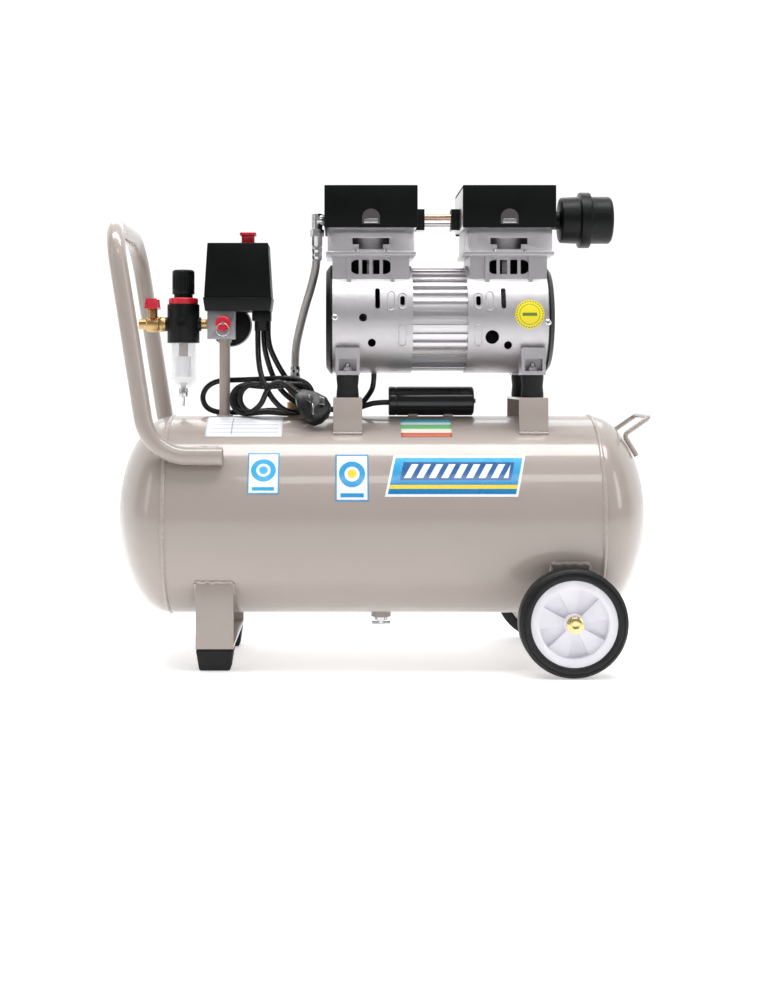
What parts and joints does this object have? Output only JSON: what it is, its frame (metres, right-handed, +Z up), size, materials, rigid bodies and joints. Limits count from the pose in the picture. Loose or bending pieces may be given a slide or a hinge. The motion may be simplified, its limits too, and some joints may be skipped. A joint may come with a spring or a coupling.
{
  "type": "air compressor",
  "caption": "Portable oil-free air compressor: direct-drive twin-cylinder pump on a horizontal tank with wheels, handle, pressure switch and filter regulator.",
  "frame": {"origin": "on the floor, midway between the handle's and the tow hook's ends, under the tank's axis", "axes": "+X along the tank from the handle end to the wheel end, +Y across it away from the side with the labels, +Z up"},
  "size_m": [0.6755, 0.306, 0.596],
  "materials": {
    "tank_paint": "gloss warm greige enamel",
    "black_rubber": "matt moulded rubber",
    "tyre_rubber": "semi-solid black tyre",
    "wheel_plastic": "cool white moulded plastic",
    "yellow_zinc": "yellow passivated zinc plating",
    "brass": "machined brass",
    "plated_steel": "bright plated steel",
    "braided_steel": "woven stainless braid",
    "cast_zinc": "cast zinc block",
    "cast_aluminium": "silver painted die casting",
    "extruded_aluminium": "natural extruded aluminium",
    "rotor_steel": "laminated steel",
    "black_plastic": "black moulded plastic",
    "capacitor_shell": "gloss black shrink sleeve",
    "red_plastic": "red moulded plastic",
    "red_enamel": "red painted steel",
    "clear_plastic": "clear polycarbonate",
    "filter_media": "sintered element on a white baffle",
    "needle_paint": "black painted pointer",
    "cable_sheath": "black PVC cable sheath"
  },
  "bodies": {
    "tank": {"tank_shell": "tank_paint", "tank_head_left": "tank_paint", "tank_head_right": "tank_paint", "foot_strap": "tank_paint", "wheel_strap": "tank_paint", "handle_tube": "tank_paint", "tow_hook": "tank_paint", "riser_pipe": "tank_paint", "pump_brackets": "tank_paint", "rubber_feet": "black_rubber", "rubber_mounts": "black_rubber", "wheel_bolts": "yellow_zinc", "inlet_nipple": "brass", "ball_valve_body": "brass", "check_valve": "brass", "hose_elbow": "plated_steel", "discharge_hose": "braided_steel", "manifold_block": "cast_zinc", "crankcase_left": "cast_aluminium", "crankcase_right": "cast_aluminium", "cylinder_left": "cast_aluminium", "cylinder_right": "cast_aluminium", "stator_housing": "extruded_aluminium", "crossover_tubes": "extruded_aluminium", "cylinder_heads": "extruded_aluminium", "regulator_body": "black_plastic", "switch_base": "black_plastic", "switch_cover": "black_plastic", "cable_gland": "black_plastic", "fan_guards": "black_plastic", "head_cover_left": "black_plastic", "head_cover_right": "black_plastic", "air_filter": "black_plastic", "gauge_case": "black_plastic", "capacitor": "capacitor_shell", "regulator_collar": "red_plastic", "safety_valve_body": "red_plastic", "filter_bowl": "clear_plastic", "filter_element": "filter_media", "mains_cord": "cable_sheath", "mains_cord_hank": "cable_sheath", "plug": "cable_sheath", "motor_cables": "cable_sheath"},
    "wheel_near": {"tyre_near": "tyre_rubber", "wheel_rim_near": "wheel_plastic"},
    "wheel_far": {"tyre_far": "tyre_rubber", "wheel_rim_far": "wheel_plastic"},
    "valve_lever": {"ball_valve_lever": "red_enamel"},
    "regulator_screw": {"regulator_spindle": "plated_steel"},
    "regulator_dial": {"regulator_knob": "black_plastic"},
    "power_button": {"switch_knob": "red_plastic"},
    "safety_stem": {"safety_valve_stem": "plated_steel"},
    "pull_ring": {"safety_valve_ring": "plated_steel"},
    "bowl_tap": {"bowl_drain": "plated_steel"},
    "tank_drain": {"drain_screw": "plated_steel"},
    "pressure_needle": {"gauge_needle": "needle_paint"},
    "crankshaft": {"rotor": "rotor_steel", "cooling_fans": "black_plastic"},
    "rod_left": {"piston_left": "extruded_aluminium"},
    "rod_right": {"piston_right": "extruded_aluminium"}
  },
  "joints": [
    {"name": "wheel_near_spin", "type": "hinge", "parent": "tank", "child": "wheel_near", "pos_m": [0.225, -0.133, 0.065], "axis": [0, 1, 0], "continuous": true},
    {"name": "wheel_far_spin", "type": "hinge", "parent": "tank", "child": "wheel_far", "pos_m": [0.225, 0.133, 0.065], "axis": [0, 1, 0], "continuous": true},
    {"name": "ball_valve_turn", "type": "hinge", "parent": "tank", "child": "valve_lever", "pos_m": [-0.2925, 0, 0.45], "axis": [0, 0, 1], "range_deg": [0, 90]},
    {"name": "regulator_turn", "type": "hinge", "parent": "tank", "child": "regulator_screw", "pos_m": [-0.253, 0, 0.46], "axis": [0, 0, 1], "range_deg": [-720, 720]},
    {"name": "regulator_knob_lift", "type": "slide", "parent": "regulator_screw", "child": "regulator_dial", "axis": [0, 0, 1], "range_m": [0, 0.003]},
    {"name": "switch_knob_press", "type": "slide", "parent": "tank", "child": "power_button", "axis": [0, 0, 1], "range_m": [-0.007, 0]},
    {"name": "safety_stem_pull", "type": "slide", "parent": "tank", "child": "safety_stem", "axis": [0, -1, 0], "range_m": [0, 0.0025], "stiffness_N_per_m": 500, "springref_m": -0.002},
    {"name": "safety_ring_swing", "type": "hinge", "parent": "safety_stem", "child": "pull_ring", "pos_m": [-0.2, -0.036, 0.425], "axis": [1, 0, 0], "range_deg": [-90, 5]},
    {"name": "bowl_drain_turn", "type": "hinge", "parent": "tank", "child": "bowl_tap", "pos_m": [-0.253, 0, 0.335], "axis": [0, 0, 1], "range_deg": [0, 180]},
    {"name": "drain_screw_turn", "type": "hinge", "parent": "tank", "child": "tank_drain", "pos_m": [0, 0, 0.05], "axis": [0, 0, 1], "range_deg": [-720, 0]},
    {"name": "gauge_needle_sweep", "type": "hinge", "parent": "tank", "child": "pressure_needle", "pos_m": [-0.196, 0.055, 0.425], "axis": [0, 1, 0], "range_deg": [-270, 0], "stiffness_Nm_per_rad": 0.001, "springref_deg": 17.19},
    {"name": "crankshaft_spin", "type": "hinge", "parent": "tank", "child": "crankshaft", "pos_m": [0.072, 0, 0.431], "axis": [1, 0, 0], "continuous": true},
    {"name": "rod_left_swing", "type": "hinge", "parent": "crankshaft", "child": "rod_left", "pos_m": [-0.014, 0, 0.439], "axis": [1, 0, 0], "continuous": true},
    {"name": "rod_right_swing", "type": "hinge", "parent": "crankshaft", "child": "rod_right", "pos_m": [0.158, 0, 0.423], "axis": [1, 0, 0], "continuous": true}
  ],
  "couplings": [
    {"joint": "rod_left_swing", "follows": "crankshaft_spin", "ratio": -1},
    {"joint": "rod_right_swing", "follows": "crankshaft_spin", "ratio": -1}
  ]
}
